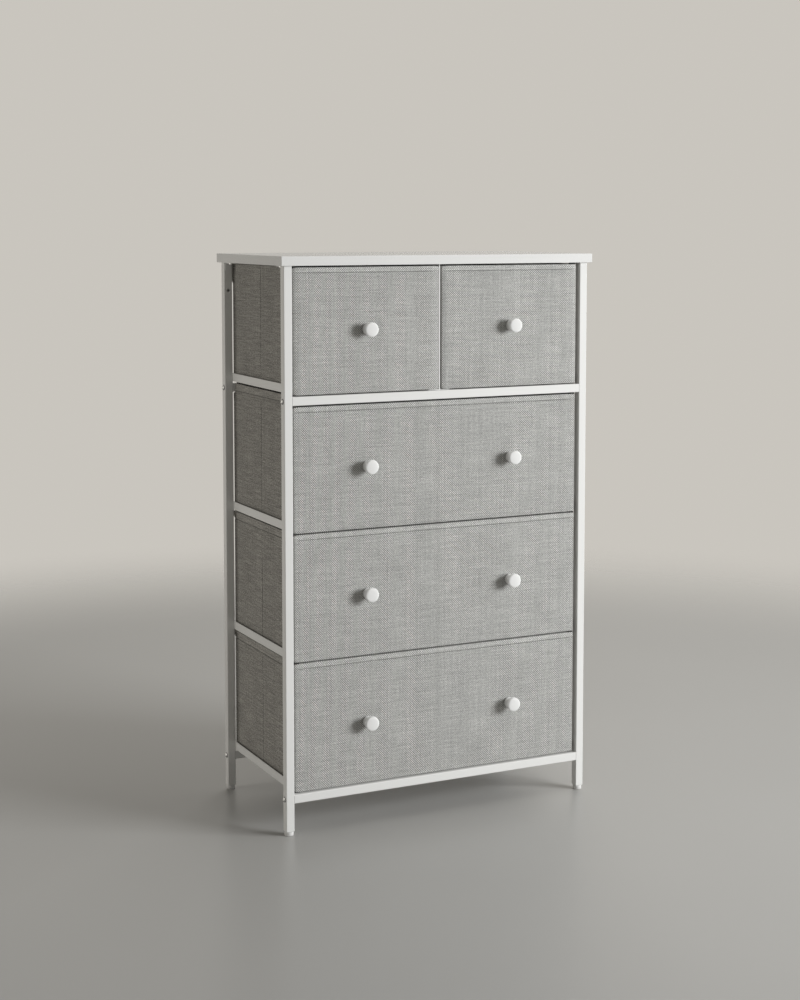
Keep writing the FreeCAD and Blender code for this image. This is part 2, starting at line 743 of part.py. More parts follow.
def write_parts():
    os.makedirs("parts", exist_ok=True)
    for part in parts:
        part.Shape.exportStep(os.path.join("parts", f"{part.Label}.step"))
        print(part.Label, len(part.Shape.Solids), round(part.Shape.Volume, 1))


make_frame()
make_drawers()
doc.recompute()
check_model()
write_parts()
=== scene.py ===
"""Looks of the fabric drawer dresser: sewn fabric drawers, turned knobs, bolts and materials, built
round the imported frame. Lengths are metres in the frame's own axes: +Z up, drawers open to -Y."""

import json
import math
import random

import bmesh
import bpy
from mathutils import Matrix, Vector, noise


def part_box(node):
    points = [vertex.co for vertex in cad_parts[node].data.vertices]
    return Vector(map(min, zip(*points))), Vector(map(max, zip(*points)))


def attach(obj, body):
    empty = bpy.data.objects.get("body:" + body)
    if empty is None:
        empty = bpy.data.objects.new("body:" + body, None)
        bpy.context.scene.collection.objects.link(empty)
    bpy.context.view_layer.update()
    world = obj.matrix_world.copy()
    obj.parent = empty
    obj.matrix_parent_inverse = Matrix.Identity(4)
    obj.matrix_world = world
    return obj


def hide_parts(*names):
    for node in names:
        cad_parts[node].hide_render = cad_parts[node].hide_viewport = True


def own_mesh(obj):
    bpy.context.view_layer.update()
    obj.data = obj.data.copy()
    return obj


MM = 0.001

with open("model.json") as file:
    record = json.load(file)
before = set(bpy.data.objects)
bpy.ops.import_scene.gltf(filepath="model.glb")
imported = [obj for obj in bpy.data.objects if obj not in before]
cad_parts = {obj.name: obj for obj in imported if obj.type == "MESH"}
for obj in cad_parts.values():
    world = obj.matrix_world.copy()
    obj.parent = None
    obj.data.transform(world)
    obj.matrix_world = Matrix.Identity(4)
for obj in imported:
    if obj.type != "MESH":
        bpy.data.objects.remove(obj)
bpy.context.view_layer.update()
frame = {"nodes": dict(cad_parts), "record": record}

SIDES = (("left", -1), ("right", 1))
ENDS = ("front", "rear")
SMALL_DRAWERS = ("small_left", "small_right")
WIDE_DRAWERS = ("upper", "middle", "bottom")

# fabric cover of a drawer front
COVER_THICKNESS = 12.2 * MM         # from the face to the back of the lining
COVER_EDGE = 1.6 * MM               # rounding where the fabric turns over the board
COVER_CORNER = 3.5 * MM
COVER_STEP = 6 * MM                 # a step is the grid of a panel's mesh
COVER_TOP_DROP = 0.8 * MM
COVER_BOTTOM_DROP = 0.4 * MM
COVER_OUTER_REACH = 0.5 * MM        # past the solid, beside a post
COVER_INNER_REACH = 2.3 * MM        # past the solid, in the gap between the small drawers
CENTRE_REACH = 20 * MM              # an edge nearer to the middle plane than this is at that gap
FRONT_HEM = 9.3 * MM                # seam below the top edge
FRONT_HEM_STEP = 1.5 * MM
FRONT_HEM_SWELL = 0.35 * MM
FRONT_FOLD = 3.0 * MM
FOLD_START, FOLD_END = -1.0 * MM, 0.5 * MM    # below the fold; the swell grows from one to the other
SMALL_BULGE = 1.9 * MM              # the fabric stands this far proud of the solid between its edges
WIDE_BULGE = 0.5 * MM
BULGE_WIDTH = 10 * MM
PUFF = 0.5 * MM
PUFF_EDGE = 25 * MM
PUFF_HEM_EDGE = 20 * MM
KNOB_FLAT, KNOB_CLEAR = 9 * MM, 40 * MM    # pressed flat round a knob, and free again further out

# lining behind the front board
LINING_THICKNESS = 1.0 * MM
LINING_SLOT = 12.0 * MM
LINING_EDGE = 0.45 * MM
LINING_STEP = 9 * MM

# near-black tabs at the outer corners of a front: painted shade in the gaps beside the posts
TAB_SETBACK = 1.8 * MM
TAB_WIDTH = 9 * MM
TAB_OVERLAP = 4 * MM
TAB_EDGE = 0.6 * MM
TAB_STEP = 3 * MM
TAB_RISE = {
    "small_left": 1.4 * MM,
    "small_right": 1.4 * MM,
    "upper": 2.0 * MM,
    "middle": 1.2 * MM,
    "bottom": 1.2 * MM,
}
TAB_HANG = {"small_left": 1.4 * MM, "small_right": 1.4 * MM, "bottom": 1.4 * MM}

# sewn walls and bottom of a drawer
WALL = 2.5 * MM
WALL_EDGE = 1.1 * MM
SIDE_STEP = 7 * MM
BACK_STEP = 9 * MM
BOTTOM_STEP = 12 * MM
BOX_INSET = 1.0 * MM
BOX_RISE = 4.0 * MM
BOX_REAR_INSET = 5.4 * MM
OUTER_WALL_REACH = 0.4 * MM
INNER_WALL_INSET = 0.6 * MM
OUTER_SKIN = 0.6 * WALL             # a point of a side nearer to its outer face belongs to that face
BACK_SKIN = 0.4 * WALL              # the same for the back
SIDE_HEM = 13.5 * MM                # seam below the top edge
HEM_STEP = 1.2 * MM
HEM_SWELL = 0.7 * MM                # in all, with half of it on each face
HEM_REACH = 7.5 * MM                # the hem stands out behind the back
HEM_REACH_LENGTH = 8 * MM
HEM_PAINTED_HIGHLIGHT = 0.13                  # painted highlight on a hem band: brighter by this share
SMALL_CORNER_DROP = 35 * MM         # how far down the rear corners of the sides stand out
WIDE_CORNER_DROP = 9 * MM
SEAM_DEPTH = 1.0 * MM
SEAM_WIDTH = 0.9 * MM
FOLD_DEPTH = 0.5 * SEAM_DEPTH
CREASE_DEPTH = 0.8 * SEAM_DEPTH
CREASE_WIDTH = 1.2 * SEAM_WIDTH
WAVE = 0.45 * MM
SOFT_WAVE = 0.5 * WAVE              # of the front cover and of the raised edge
WAVE_LENGTH = 110 * MM
WAVE_EDGE = 12 * MM                 # the waves fade out towards the edges
SMALL_SEED, WIDE_SEED = 11.0, 41.0
SEED_STEP = 10                      # from one drawer to the next
BACK_SEED_STEP = 2                  # from a drawer's front to its back

# soft raised edge of the upper drawer
LIP_GAP = 3.8 * MM                  # below the runner of the small drawer
LIP_RAIL_GAP = 1.2 * MM
LIP_FRONT_GAP = 0.5 * MM
LIP_OVERLAP = 0.2 * MM
LIP_STEP = 6 * MM
LIP_DIP = 0.4 * MM
LIP_SEED, LIP_DIP_SEED = 7.0, 3.0
REAR_LIP_GAP = 0.1 * MM
REAR_LIP_RISE = 4 * MM              # higher towards its two ends
REAR_LIP_LEVEL, REAR_LIP_END = 100 * MM, 160 * MM
STRIP_TOP = 2.1 * MM
STRIP_EDGE = 0.9 * MM

# stitching
STITCH_PITCH = 3.2 * MM
STITCH_LENGTH = 2.4 * MM
STITCH_RADIUS = 0.38 * MM
STITCH_SIDES = 6
STITCH_RINGS = ((-0.5, 0.25), (-0.35, 0.9), (0.0, 1.0), (0.35, 0.9), (0.5, 0.25))    # along, size
STITCH_ARCH = 0.12 * MM
STITCH_WANDER = 0.12 * MM
STITCH_LEAN = 0.10 * MM
FRONT_STITCH_SEAT = 0.55 * MM       # how deep in the fabric the middle of the thread lies
WALL_STITCH_SEAT = 0.45 * MM
FRONT_STITCH_MARGIN = 8 * MM
HEM_STITCH_MARGIN = 3 * MM
LIP_STITCH_MARGIN = 2 * MM
CREASE_STITCH_START = 6 * MM
CREASE_STITCH_STOP = 4 * MM


# ---------------------------------------------------------------------------------------------
# Materials
# ---------------------------------------------------------------------------------------------

class Nodes:
    """Short calls that add shader nodes to one material."""

    def __init__(self, name):
        self.material = bpy.data.materials.new(name)
        self.material.use_nodes = True
        self.tree = self.material.node_tree
        self.shader = self.tree.nodes["Principled BSDF"]

    def add(self, kind, **settings):
        node = self.tree.nodes.new(kind)
        for name, value in settings.items():
            setattr(node, name, value)
        return node

    def link(self, source, target):
        self.tree.links.new(source, target)

    def feed(self, socket, value):
        """Connect a socket to another, or set it to a number."""
        if isinstance(value, bpy.types.NodeSocket):
            self.link(value, socket)
        else:
            socket.default_value = value

    def math(self, operation, *values):
        node = self.add("ShaderNodeMath", operation=operation)
        for socket, value in zip(node.inputs, values):
            self.feed(socket, value)
        return node.outputs[0]

    def product(self, first, second):
        return self.math("MULTIPLY", first, second)

    def between(self, value, low, high):
        """A value from 0 to 1, turned into one from low to high."""
        return self.math("MULTIPLY_ADD", value, high - low, low)

    def spread(self, value, centre, amount):
        """A noise value round one half, turned into centre plus or minus amount."""
        return self.math("MULTIPLY_ADD", value, 2 * amount, centre - amount)

    def vary(self, value, amount):
        """A noise value turned into a brightness of one plus or minus amount."""
        return self.spread(value, 1.0, amount)

    def noise(self, vector, scale, detail=2.0, roughness=0.5):
        node = self.add("ShaderNodeTexNoise")
        self.link(vector, node.inputs["Vector"])
        node.inputs["Scale"].default_value = scale
        node.inputs["Detail"].default_value = detail
        node.inputs["Roughness"].default_value = roughness
        return node.outputs["Fac"]

    def object_place(self):
        return self.add("ShaderNodeTexCoord").outputs["Object"]

    def stretched(self, vector, scale):
        node = self.add("ShaderNodeMapping")
        self.link(vector, node.inputs["Vector"])
        node.inputs["Scale"].default_value = scale
        return node.outputs["Vector"]

    def tint(self, colour, brightness):
        """A colour times a varying brightness, fed to the base colour."""
        node = self.add("ShaderNodeVectorMath", operation="SCALE")
        node.inputs[0].default_value = colour
        self.link(brightness, node.inputs["Scale"])
        self.link(node.outputs[0], self.shader.inputs["Base Color"])

    def roughen(self, value, centre, amount):
        """Roughness that follows a noise value."""
        self.link(self.spread(value, centre, amount), self.shader.inputs["Roughness"])

    def bump(self, height, strength, distance):
        node = self.add("ShaderNodeBump")
        node.inputs["Strength"].default_value = strength
        node.inputs["Distance"].default_value = distance
        self.link(height, node.inputs["Height"])
        self.link(node.outputs["Normal"], self.shader.inputs["Normal"])

    def set(self, **values):
        for name, value in values.items():
            self.shader.inputs[name.replace("_", " ")].default_value = value
        return self.material


THREAD_PITCH = 2.0 * MM
DARK_THREAD, LIGHT_THREAD = 0.58, 1.42      # brightness of weft and warp
HOLLOW_PAINTED_SHADE, CROWN_PAINTED_HIGHLIGHT = 0.74, 1.16      # painted shade between the threads and painted highlight on top of them
YARN_VARIETY = 0.09
LONG_SLUB = 0.18
PATCHINESS = 0.12
SLUB_RELIEF = 0.8                   # height of a slub beside a thread's


def thread_profile(nodes, position):
    """Height across one thread: nothing at its edges and one in its middle."""
    across = nodes.math("FRACT", position)
    rest = nodes.math("SUBTRACT", 1.0, across)
    return nodes.product(nodes.product(across, rest), 4.0)


def thread_shade(nodes, position):
    """A random number from 0 to 1 for each thread."""
    node = nodes.add("ShaderNodeTexWhiteNoise", noise_dimensions="1D")
    nodes.link(nodes.math("FLOOR", position), node.inputs["W"])
    return node.outputs["Value"]


def woven(nodes, warp_value, weft_value, warp_on_top, weft_on_top):
    """The warp's value where the warp lies on top, and the weft's elsewhere."""
    return nodes.math("ADD", nodes.product(warp_value, warp_on_top), nodes.product(weft_value, weft_on_top))


def fabric_material(name, colour, fleck, slub):
    """Plain cross weave of mixed grey yarn, with slubs along both thread directions; hems are painted lighter
    as a highlight, and the hollows between the threads painted darker as shade.
    """
    nodes = Nodes(name)
    weave = nodes.add("ShaderNodeUVMap", uv_map="weave").outputs["UV"]
    split = nodes.add("ShaderNodeSeparateXYZ")
    nodes.link(weave, split.inputs[0])
    warp = nodes.math("DIVIDE", split.outputs[0], THREAD_PITCH)
    weft = nodes.math("DIVIDE", split.outputs[1], THREAD_PITCH)
    steps = nodes.math("ADD", nodes.math("FLOOR", warp), nodes.math("FLOOR", weft))
    warp_on_top = nodes.math("PINGPONG", steps, 1.0)
    weft_on_top = nodes.math("SUBTRACT", 1.0, warp_on_top)

    warp_round, weft_round = thread_profile(nodes, warp), thread_profile(nodes, weft)
    warp_height = nodes.product(warp_round, nodes.between(weft_round, 0.5, 1.0))
    weft_height = nodes.product(weft_round, nodes.between(warp_round, 0.5, 1.0))
    height = woven(nodes, warp_height, weft_height, warp_on_top, weft_on_top)
    yarn = woven(nodes, thread_shade(nodes, warp), thread_shade(nodes, weft), warp_on_top, weft_on_top)

    slub_up = nodes.noise(nodes.stretched(weave, (420.0, 24.0, 1.0)), scale=1.0)
    slub_across = nodes.noise(nodes.stretched(weave, (20.0, 420.0, 1.0)), scale=1.0)
    flecks = nodes.noise(weave, scale=330.0, detail=3.0, roughness=0.65)
    patches = nodes.noise(weave, scale=16.0, detail=3.0)

    brightness = nodes.product(
        nodes.between(warp_on_top, DARK_THREAD, LIGHT_THREAD), nodes.vary(yarn, YARN_VARIETY),
    )
    for value, amount in (
        (slub_up, LONG_SLUB), (slub_across, slub), (flecks, fleck), (patches, PATCHINESS),
    ):
        brightness = nodes.product(brightness, nodes.vary(value, amount))
    in_hem = nodes.add("ShaderNodeAttribute", attribute_name="hem").outputs["Fac"]
    # painted highlight: the hem band is made brighter
    brightness = nodes.product(brightness, nodes.between(in_hem, 1.0, 1.0 + HEM_PAINTED_HIGHLIGHT))
    # painted shade in the hollows between threads and painted highlight on their crowns
    brightness = nodes.product(brightness, nodes.between(height, HOLLOW_PAINTED_SHADE, CROWN_PAINTED_HIGHLIGHT))
    nodes.tint(colour, brightness)
    relief = nodes.math("ADD", height, nodes.product(slub_across, SLUB_RELIEF))
    nodes.bump(relief, strength=0.55, distance=0.4 * MM)
    return nodes.set(Roughness=0.92, Sheen_Weight=0.05, Sheen_Roughness=0.5, Specular_IOR_Level=0.2)


def thread_material(name, colour):
    """Twisted sewing thread."""
    nodes = Nodes(name)
    strands = nodes.noise(nodes.stretched(nodes.object_place(), (2600.0, 900.0, 2600.0)), scale=1.0)
    nodes.tint(colour, nodes.vary(strands, 0.3))
    nodes.bump(strands, strength=0.4, distance=0.1 * MM)
    return nodes.set(Roughness=0.75, Sheen_Weight=0.1)


def powder_coat_material(name, colour):
    """White powder coat: fine orange peel, slightly uneven gloss."""
    nodes = Nodes(name)
    place = nodes.object_place()
    peel = nodes.noise(place, scale=900.0)
    cloud = nodes.noise(place, scale=9.0, detail=3.0)
    nodes.tint(colour, nodes.vary(cloud, 0.02))
    nodes.roughen(cloud, centre=0.40, amount=0.08)
    nodes.bump(peel, strength=0.12, distance=0.05 * MM)
    return nodes.set(Coat_Weight=0.15, Coat_Roughness=0.3)


def melamine_material(name, colour):
    """White melamine board: a faint pearl texture and a satin gloss."""
    nodes = Nodes(name)
    place = nodes.object_place()
    pearl = nodes.noise(place, scale=1500.0, detail=3.0, roughness=0.6)
    cloud = nodes.noise(place, scale=7.0)
    nodes.tint(colour, nodes.product(nodes.vary(pearl, 0.03), nodes.vary(cloud, 0.015)))
    nodes.roughen(pearl, centre=0.27, amount=0.05)
    nodes.bump(pearl, strength=0.15, distance=0.05 * MM)
    return nodes.set(Specular_IOR_Level=0.45)


def lacquer_material(name, colour):
    """Smooth white lacquer of the knobs, a little translucent."""
    nodes = Nodes(name)
    place = nodes.object_place()
    cloud = nodes.noise(place, scale=60.0)
    nodes.tint(colour, nodes.vary(cloud, 0.015))
    nodes.roughen(cloud, centre=0.36, amount=0.06)
    nodes.bump(nodes.noise(place, scale=700.0, detail=1.0), strength=0.05, distance=0.03 * MM)
    return nodes.set(
        Coat_Weight=0.12, Coat_Roughness=0.25, Subsurface_Weight=1.0,
        Subsurface_Radius=(1.0, 1.0, 1.0), Subsurface_Scale=10 * MM,
    )


def plastic_material(name, colour):
    """Moulded plastic, scuffed at random."""
    nodes = Nodes(name)
    scuffs = nodes.noise(nodes.stretched(nodes.object_place(), (300.0, 300.0, 1200.0)), scale=1.0, detail=3.0)
    nodes.tint(colour, nodes.vary(scuffs, 0.06))
    nodes.roughen(scuffs, centre=0.5, amount=0.12)
    nodes.bump(scuffs, strength=0.15, distance=0.08 * MM)
    return nodes.set(Specular_IOR_Level=0.4)


def steel_material(name, colour):
    """Zinc-plated fasteners with fine turning marks."""
    nodes = Nodes(name)
    marks = nodes.noise(nodes.object_place(), scale=2500.0)
    nodes.tint(colour, nodes.vary(marks, 0.12))
    nodes.roughen(marks, centre=0.24, amount=0.08)
    nodes.bump(marks, strength=0.2, distance=0.05 * MM)
    return nodes.set(Metallic=1.0)


def fibre_board_material(name, colour):
    """Pressed fibre board."""
    nodes = Nodes(name)
    place = nodes.object_place()
    fibres = nodes.noise(nodes.stretched(place, (900.0, 300.0, 900.0)), scale=1.0, detail=4.0, roughness=0.7)
    blots = nodes.noise(place, scale=40.0, detail=3.0)
    nodes.tint(colour, nodes.product(nodes.vary(fibres, 0.3), nodes.vary(blots, 0.1)))
    nodes.bump(fibres, strength=0.3, distance=0.15 * MM)
    return nodes.set(Roughness=0.8)


FABRIC = fabric_material("grey_linen_weave", (0.425, 0.425, 0.412), fleck=0.55, slub=0.275)
# the fronts' weave with its colour darkened as painted shade, for the sides, back, bottom and soft edges of
# the boxes
BOX_FABRIC_PAINTED_SHADE = fabric_material("grey_box_weave", (0.331, 0.320, 0.298), fleck=1.15, slub=0.575)
# near-black: painted shade in the gaps at the fronts' outer corners
PAINTED_SHADE_TAB = fabric_material("dark_binding", (0.07, 0.07, 0.068), fleck=0.5, slub=0.25)
THREAD = thread_material("grey_thread", (0.20, 0.20, 0.19))
METAL = powder_coat_material("white_powder_coat", (0.785, 0.785, 0.772))
BOARD = melamine_material("white_melamine", (0.735, 0.735, 0.725))
LACQUER = lacquer_material("white_lacquer", (0.79, 0.79, 0.785))
PLASTIC = plastic_material("foot_plastic", (0.72, 0.72, 0.71))
STEEL = steel_material("zinc_plated_steel", (0.62, 0.62, 0.61))
# a black washer, its near-black also painted shade round the bolt head
WASHER_AND_PAINTED_SHADE = plastic_material("black_washer", (0.035, 0.035, 0.035))
FIBRE_BOARD = fibre_board_material("fibre_board", (0.36, 0.26, 0.17))

MATERIAL_OF_SLOT = {
    "white_metal": METAL,
    "white_board": BOARD,
    "foot_plastic": PLASTIC,
    "white_knob": LACQUER,
    "steel": STEEL,
    "fibre_board": FIBRE_BOARD,
    "grey_fabric": FABRIC,
}


# ---------------------------------------------------------------------------------------------
# Mesh helpers
# ---------------------------------------------------------------------------------------------

EDGE_ANGLES = (45, 30, 15, 0)
SEAM_LINES = (-2.4, -1.6, -1.0, -0.5, 0.0, 0.5, 1.0, 1.6, 2.4)    # grid lines beside a seam, in its widths
CLOSEST_LINES = 0.08 * MM
ON_AXIS = 1e-7                      # a smaller radius of a turned piece is a point on its axis


def finished(name, mesh_data, material, body):
    """A smooth object that rides on a body."""
    mesh = bpy.data.meshes.new(name)
    mesh_data.to_mesh(mesh)
    mesh_data.free()
    mesh.materials.append(material)
    for polygon in mesh.polygons:
        polygon.use_smooth = True
    piece = bpy.data.objects.new(name, mesh)
    bpy.context.scene.collection.objects.link(piece)
    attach(piece, body)
    return piece


def grid_lines(low, high, step, radius, seams):
    """Grid positions from low to high: close at the rounded ends and beside each seam."""
    turns = [radius * (1 - math.tan(math.radians(angle))) for angle in EDGE_ANGLES]
    lines = [low + turn for turn in turns] + [high - turn for turn in turns]
    flat_length = high - low - 2 * radius
    count = max(1, round(flat_length / step))
    lines += [low + radius + flat_length * index / count for index in range(1, count)]
    for seam in seams:
        lines += [seam + SEAM_WIDTH * share for share in SEAM_LINES]
    kept = [low]
    for line in sorted(line for line in lines if low <= line <= high):
        if line - kept[-1] > CLOSEST_LINES:
            kept.append(line)
    kept[-1] = high
    return kept


def slab(name, low, high, radius, step, material, body, slot, seams=((), (), ()), shape=None, hem=None):
    """A closed panel with rounded edges; shape moves its points, told where each was on the flat box,
    and hem says how much each lies in a hem, where the fabric carries a painted highlight."""
    lines = [grid_lines(low[axis], high[axis], step, radius, seams[axis]) for axis in range(3)]
    made = bmesh.new()
    weave = made.loops.layers.uv.new("weave")
    in_hem = made.verts.layers.float.new("hem")
    vertices = {}

    def vertex(index):
        if index not in vertices:
            flat = Vector([lines[axis][index[axis]] for axis in range(3)])
            core = Vector([
                min(max(flat[axis], low[axis] + radius), high[axis] - radius) for axis in range(3)
            ])
            outward = flat - core
            point = flat.copy()
            if outward.length:
                point = core + outward.normalized() * min(radius, outward.length)
            vertices[index] = (made.verts.new(shape(point, flat) if shape else point), flat)
            vertices[index][0][in_hem] = hem(flat) if hem else 0.0
        return vertices[index]

    for axis in range(3):
        first, second = [other for other in range(3) if other != axis]
        for end in (0, len(lines[axis]) - 1):
            for i in range(len(lines[first]) - 1):
                for j in range(len(lines[second]) - 1):
                    corners = []
                    for a, b in ((i, j), (i + 1, j), (i + 1, j + 1), (i, j + 1)):
                        index = [end, end, end]
                        index[first], index[second] = a, b
                        corners.append(vertex(tuple(index)))
                    if (end == 0) != (axis == 1):
                        corners.reverse()
                    face = made.faces.new([corner[0] for corner in corners])
                    for loop, corner in zip(face.loops, corners):
                        loop[weave].uv = (corner[1][first], corner[1][second])
    return finished(name, made, material, body)


def ring_of(mesh_data, place, radius, distance, segments):
    """The vertices of one ring of a turned piece, or its single point on the axis."""
    if radius < ON_AXIS:
        return [mesh_data.verts.new(place @ Vector((0, 0, distance)))]
    angles = [2 * math.pi * index / segments for index in range(segments)]
    return [
        mesh_data.verts.new(place @ Vector((radius * math.cos(angle), radius * math.sin(angle), distance)))
        for angle in angles
    ]


def lathe(name, profile, centre, outward, segments, material, body):
    """A turned piece: profile pairs of radius and distance along outward from the centre."""
    made = bmesh.new()
    place = Matrix.Translation(centre) @ outward.to_track_quat("Z", "X").to_matrix().to_4x4()
    rings = [ring_of(made, place, radius, distance, segments) for radius, distance in profile]
    for ring, following in zip(rings, rings[1:]):
        for index in range(segments):
            after = (index + 1) % segments
            if len(ring) == 1:
                made.faces.new((ring[0], following[after], following[index]))
            elif len(following) == 1:
                made.faces.new((ring[index], ring[after], following[0]))
            else:
                made.faces.new((ring[index], ring[after], following[after], following[index]))
    bmesh.ops.recalc_face_normals(made, faces=made.faces)
    return finished(name, made, material, body)


def in_metres(profile):
    return [(radius * MM, distance * MM) for radius, distance in profile]


def smoothed(points, steps):
    """A smooth line through points, by Catmull-Rom, with some steps between each pair."""
    line = []
    for index in range(len(points) - 1):
        before = Vector(points[max(index - 1, 0)])
        start, end = Vector(points[index]), Vector(points[index + 1])
        after = Vector(points[min(index + 2, len(points) - 1)])
        for step in range(steps):
            t = step / steps
            line.append(0.5 * (
                2 * start + (end - before) * t
                + (2 * before - 5 * start + 4 * end - after) * t ** 2
                + (3 * start - before - 3 * end + after) * t ** 3
            ))
    line.append(Vector(points[-1]))
    return line


def stitch(mesh_data, middle, along, sideways, outward, lean):
    """One stitch: a short arched length of thread, thinner at both ends."""
    rings = []
    for share, size in STITCH_RINGS:
        centre = middle + (along * STITCH_LENGTH + lean) * share
        centre += outward * (STITCH_ARCH * (1 - 4 * share * share))
        ring = []
        for corner in range(STITCH_SIDES):
            angle = 2 * math.pi * corner / STITCH_SIDES
            reach = sideways * math.cos(angle) + outward * math.sin(angle)
            ring.append(mesh_data.verts.new(centre + reach * STITCH_RADIUS * size))
        rings.append(ring)
    for ring, following in zip(rings, rings[1:]):
        for corner in range(STITCH_SIDES):
            after = (corner + 1) % STITCH_SIDES
            mesh_data.faces.new((ring[corner], ring[after], following[after], following[corner]))
    mesh_data.faces.new(rings[0][::-1])
    mesh_data.faces.new(rings[-1])


def stitches(name, rows, body):
    """Rows of sewn stitches; each row is its start, its end and the way out of the fabric."""
    made = bmesh.new()
    chance = random.Random(name)
    for start, end, outward in rows:
        along = (end - start).normalized()
        sideways = along.cross(outward)
        for index in range(int((end - start).length / STITCH_PITCH)):
            middle = start + along * STITCH_PITCH * (index + 0.5)
            middle += sideways * chance.uniform(-STITCH_WANDER, STITCH_WANDER)
            lean = sideways * chance.uniform(-STITCH_LEAN, STITCH_LEAN)
            stitch(made, middle, along, sideways, outward, lean)
    bmesh.ops.recalc_face_normals(made, faces=made.faces)
    return finished(name, made, THREAD, body)


def groove(distance, width=SEAM_WIDTH):
    """Share of a seam's depth at a distance from its line."""
    return math.exp(-(distance / width) ** 2)


def ramp(value, start, end):
    """0 before start, 1 after end, smooth between."""
    share = min(max((value - start) / (end - start), 0.0), 1.0)
    return share * share * (3 - 2 * share)


def ripple(x, y, seed):
    """Slow unevenness of a stretched fabric, from -1 to 1."""
    return noise.noise(Vector((x / WAVE_LENGTH, y / WAVE_LENGTH, seed)))


def hem_band(seam, step):
    """Says how far a point lies in the hem above a seam: 0 below the seam and 1 a step above it."""
    def in_band(flat):
        return ramp(flat.z, seam, seam + step)

    return in_band


def no_band(flat):
    return 0.0


# ---------------------------------------------------------------------------------------------
# Sewn drawers
# ---------------------------------------------------------------------------------------------

class Drawer:
    """One sewn drawer: where its box is, how its fabric sits and the seed of its waves."""

    def __init__(self, name, bulge, hemmed, corner_drop, seed):
        self.name = name
        self.body = f"drawer_{name}"
        self.bulge = bulge
        self.hemmed = hemmed
        self.corner_drop = corner_drop
        self.seed = seed
        self.low, self.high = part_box(f"{name}_fabric_box")
        self.near = self.low.y + COVER_THICKNESS
        self.far = self.high.y - BOX_REAR_INSET
        self.bottom = self.low.z + BOX_RISE
        self.floor = self.bottom + WALL

    def panel(self, part, low, high, edge, step, material, **options):
        """A slab of fabric that belongs to the drawer."""
        return slab(
            f"{self.name}_{part}", low, high, edge, step, material, self.body, "grey_fabric", **options,
        )

    def wall_faces(self, side):
        """Outer and inner face of a side: it bulges a little past the solid beside the posts, and stays
        a little inside it beside the centre uprights."""
        face = self.high.x if side > 0 else self.low.x
        beside_posts = abs(face) > CENTRE_REACH
        outer = face + side * (OUTER_WALL_REACH if beside_posts else -INNER_WALL_INSET)
        return outer, outer - side * WALL


def cover_box(low, high):
    """The cover's box: the fabric reaches a little past the board at the sides and sits low on it."""
    def reach(edge):
        return COVER_INNER_REACH if abs(edge) < CENTRE_REACH else COVER_OUTER_REACH

    cover_low = Vector((low.x - reach(low.x), low.y, low.z - COVER_BOTTOM_DROP))
    return cover_low, Vector((high.x + reach(high.x), high.y, high.z - COVER_TOP_DROP))


def rounded_corner(point, middle_x, half_width, bottom, top):
    """Pull a point of the cover inside the round of its corners."""
    middle_z, half_height = (bottom + top) / 2, (top - bottom) / 2
    across = abs(point.x - middle_x) - (half_width - COVER_CORNER)
    beyond = abs(point.z - middle_z) - (half_height - COVER_CORNER)
    if across <= 0 or beyond <= 0:
        return point
    shrink = max(across, beyond) / math.hypot(across, beyond)
    moved = point.copy()
    moved.x = middle_x + math.copysign(half_width - COVER_CORNER + across * shrink, point.x - middle_x)
    moved.z = middle_z + math.copysign(half_height - COVER_CORNER + beyond * shrink, point.z - middle_z)
    return moved


def front_cover(drawer, knob_seats):
    """Fabric stretched over the front board: hem along the top, a fold above it, rounded corners; gives
    its row of stitches."""
    low, high = drawer.low, drawer.high
    cover_low, cover_high = cover_box(low, high)
    hem, fold = cover_high.z - FRONT_HEM, cover_high.z - FRONT_FOLD
    back = drawer.near - LINING_THICKNESS
    middle_x = (cover_low.x + cover_high.x) / 2
    half_width = (cover_high.x - cover_low.x) / 2
    in_band = hem_band(hem, FRONT_HEM_STEP)

    def shape(point, flat):
        point = rounded_corner(point, middle_x, half_width, cover_low.z, cover_high.z)
        if flat.y >= back - COVER_EDGE:
            return point
        from_side = half_width - abs(flat.x - middle_x)
        puff = ramp(from_side, 0.0, PUFF_EDGE) * ramp(flat.z - cover_low.z, 0.0, PUFF_EDGE)
        puff *= ramp(hem - flat.z, 0.0, PUFF_HEM_EDGE)
        rise = drawer.bulge * (1 - (1 - min(from_side / BULGE_WIDTH, 1.0)) ** 2)
        for seat in knob_seats:
            free = ramp(math.hypot(flat.x - seat.x, flat.z - seat.z), KNOB_FLAT, KNOB_CLEAR)
            puff *= free
            rise *= free
        point.y -= rise + puff * (PUFF + SOFT_WAVE * ripple(flat.x, flat.z, drawer.seed))
        point.y += SEAM_DEPTH * groove(flat.z - hem) + FOLD_DEPTH * groove(flat.z - fold)
        point.y -= FRONT_HEM_SWELL * in_band(flat) * ramp(fold - flat.z, FOLD_START, FOLD_END)
        return point

    cover = drawer.panel(
        "front_cover", cover_low, Vector((cover_high.x, back, cover_high.z)), COVER_EDGE, COVER_STEP,
        FABRIC, seams=((), (), (hem, fold)), shape=shape, hem=in_band,
    )
    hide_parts(f"{drawer.name}_fabric_box")
    lining_low = Vector((low.x + BOX_INSET, back, low.z + BOX_INSET))
    lining_high = Vector((high.x - BOX_INSET, drawer.near, high.z - LINING_SLOT))
    drawer.panel("lining", lining_low, lining_high, LINING_EDGE, LINING_STEP, FABRIC)
    seam_y = low.y + FRONT_STITCH_SEAT - drawer.bulge
    start, end = low.x + FRONT_STITCH_MARGIN, high.x - FRONT_STITCH_MARGIN
    return [(Vector((start, seam_y, hem)), Vector((end, seam_y, hem)), Vector((0, -1, 0)))]


